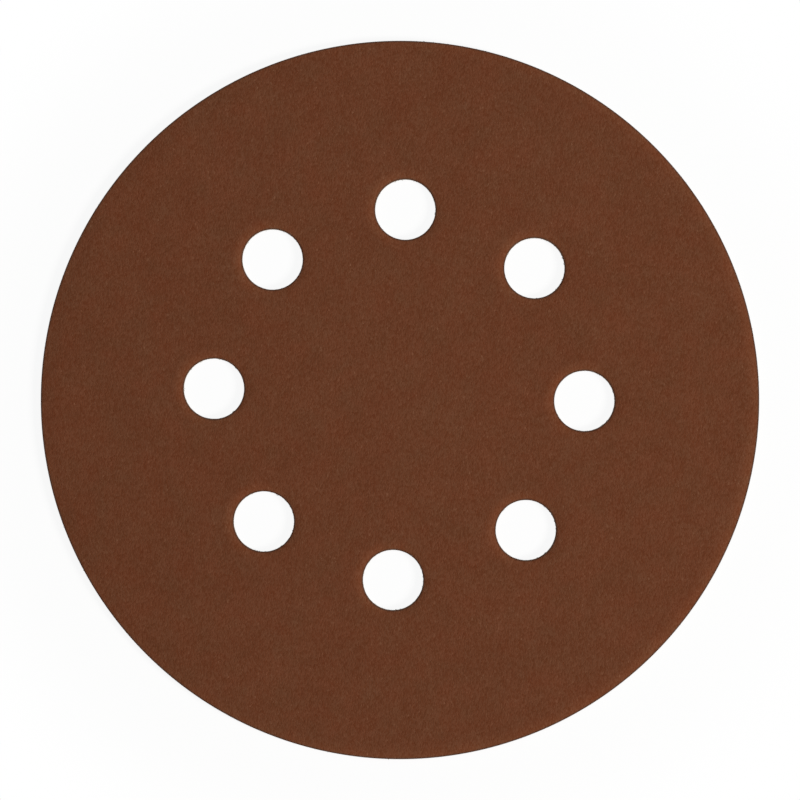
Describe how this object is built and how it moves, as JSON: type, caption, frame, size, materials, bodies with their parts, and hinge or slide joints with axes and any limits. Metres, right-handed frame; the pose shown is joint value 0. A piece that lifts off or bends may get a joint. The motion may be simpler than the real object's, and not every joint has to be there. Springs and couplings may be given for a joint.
{
  "type": "hook and loop sanding disc",
  "caption": "Round flat sanding disc with a brown abrasive face, a ring of dust extraction holes and a loop fabric back that grips a sander's hook pad.",
  "frame": {"origin": "middle of the loop face, on the disc's centre line, where the disc rests", "axes": "+Z out of the abrasive face, +Y towards the first dust hole"},
  "size_m": [0.125, 0.125, 0.0014],
  "materials": {
    "abrasive_grain": "rough aluminium oxide grain in brown resin",
    "backing_paper": "plain brown paper, seen at its cut edge",
    "loop_fabric": "off-white brushed knit with a short loop pile"
  },
  "bodies": {
    "root": {"grain_coat": "abrasive_grain", "backing_paper": "backing_paper", "backing_loops": "loop_fabric"}
  },
  "joints": []
}
